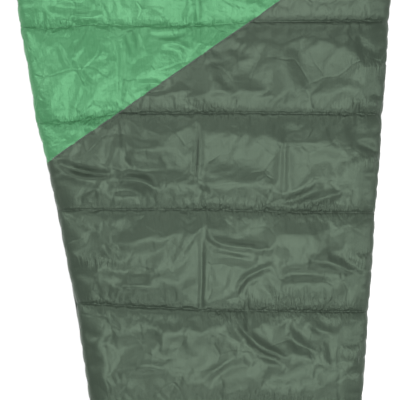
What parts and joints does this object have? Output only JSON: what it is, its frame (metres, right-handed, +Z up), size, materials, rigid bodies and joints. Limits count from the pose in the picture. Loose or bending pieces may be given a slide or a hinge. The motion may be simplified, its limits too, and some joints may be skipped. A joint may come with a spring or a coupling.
{
  "type": "mummy sleeping bag",
  "caption": "Closed mummy sleeping bag lying flat, with quilted cover and base, a side zip, a hood with a drawcord and a tapering foot.",
  "frame": {"origin": "on the floor under the middle of the bag's bounding box", "axes": "+X to the zip side, +Y along the bag to the hood, +Z up from the floor"},
  "size_m": [0.7969, 2.2303, 0.064],
  "materials": {
    "shell_dark": "satin",
    "shell_green": "satin",
    "lining": "matte",
    "batting": "matte",
    "baffle": "matte",
    "zip_tape": "matte",
    "zip_coil": "satin",
    "zip_metal": "satin",
    "pull_grip": "matte",
    "webbing": "matte",
    "hook_and_loop": "matte",
    "cord": "matte",
    "toggle_plastic": "satin",
    "steel": "brushed"
  },
  "bodies": {
    "base": {"base_shell": "shell_dark", "base_batt": "batting", "base_lining": "lining", "chest_panel": "shell_green", "leg_panel": "shell_dark", "cover_batt": "batting", "cover_lining": "lining", "left_block_baffle": "baffle", "foot_baffle": "baffle", "neck_wall_left": "shell_dark", "neck_wall_right": "shell_dark", "zip_tape_base": "zip_tape", "zip_coil_base": "zip_coil", "zip_top_stop_base": "zip_metal", "zip_bottom_stop": "zip_metal", "zip_tape_cover": "zip_tape", "zip_coil_cover": "zip_coil", "closure_loop_patch": "hook_and_loop"},
    "cover_flap": {"chest_panel_flap": "shell_green", "leg_panel_flap": "shell_dark", "cover_batt_flap": "batting", "cover_lining_flap": "lining", "draft_tube": "baffle", "zip_tape_cover_flap": "zip_tape", "zip_coil_cover_flap": "zip_coil", "zip_top_stop_cover": "zip_metal", "closure_tab_anchor": "webbing"},
    "slider": {"zip_slider": "zip_metal"},
    "outer_pull": {"zip_pull": "zip_metal", "zip_pull_grip": "pull_grip"},
    "inner_pull": {"zip_inner_pull": "zip_metal"},
    "closure_tab": {"closure_tab": "webbing", "closure_hook_patch": "hook_and_loop"},
    "hood": {"hood_shell": "shell_dark", "hood_batt": "batting", "hood_lining": "lining", "hood_wall_batt": "batting", "hood_wall_shell": "shell_dark", "hood_wall_lining": "lining", "drawcord_casing": "shell_dark", "drawcord": "cord", "casing_eyelet": "steel", "cord_lock_barrel": "toggle_plastic", "cord_lock_spring": "steel", "cord_end_stop": "toggle_plastic"},
    "cord_lock_button": {"cord_lock_button": "toggle_plastic"},
    "left_hanging_loop": {"hanging_loop_left": "webbing"},
    "right_hanging_loop": {"hanging_loop_right": "webbing"}
  },
  "joints": [
    {"name": "cover_fold", "type": "hinge", "parent": "base", "child": "cover_flap", "pos_m": [-0.1, 0.64, 0.0645], "axis": [0.2643, -0.9644, 0], "range_deg": [0, 165]},
    {"name": "zip_slide", "type": "slide", "parent": "base", "child": "slider", "axis": [-0.0713, -0.9975, 0], "range_m": [0, 1.4236]},
    {"name": "outer_pull_swing", "type": "hinge", "parent": "slider", "child": "outer_pull", "pos_m": [0.39471, 0.58854, 0.027], "axis": [0, 0, 1], "range_deg": [0, 170]},
    {"name": "inner_pull_swing", "type": "hinge", "parent": "slider", "child": "inner_pull", "pos_m": [0.38453, 0.58927, 0.027], "axis": [0, 0, -1], "range_deg": [0, 90]},
    {"name": "tab_peel", "type": "hinge", "parent": "cover_flap", "child": "closure_tab", "pos_m": [0.36014, 0.62109, 0.0645], "axis": [-0.0713, -0.9975, 0], "range_deg": [0, 150]},
    {"name": "hood_fold", "type": "hinge", "parent": "base", "child": "hood", "pos_m": [0, 0.7047, 0.0645], "axis": [1, 0, 0], "range_deg": [0, 100]},
    {"name": "toggle_press", "type": "slide", "parent": "hood", "child": "cord_lock_button", "axis": [0.956, 0.2934, 0], "range_m": [0, 0.003], "stiffness_N_per_m": 700, "springref_m": -0.003, "deforming": ["cord_lock_spring"]},
    {"name": "left_loop_swing", "type": "hinge", "parent": "base", "child": "left_hanging_loop", "pos_m": [-0.07784, -1.0793, 0.005], "axis": [-1, 0, 0], "range_deg": [0, 90]},
    {"name": "right_loop_swing", "type": "hinge", "parent": "base", "child": "right_hanging_loop", "pos_m": [0.18216, -1.0793, 0.005], "axis": [-1, 0, 0], "range_deg": [0, 90]}
  ],
  "couplings": [
    {"joint": "zip_slide", "follows": "cover_fold", "m_per_rad": 0.4943}
  ]
}
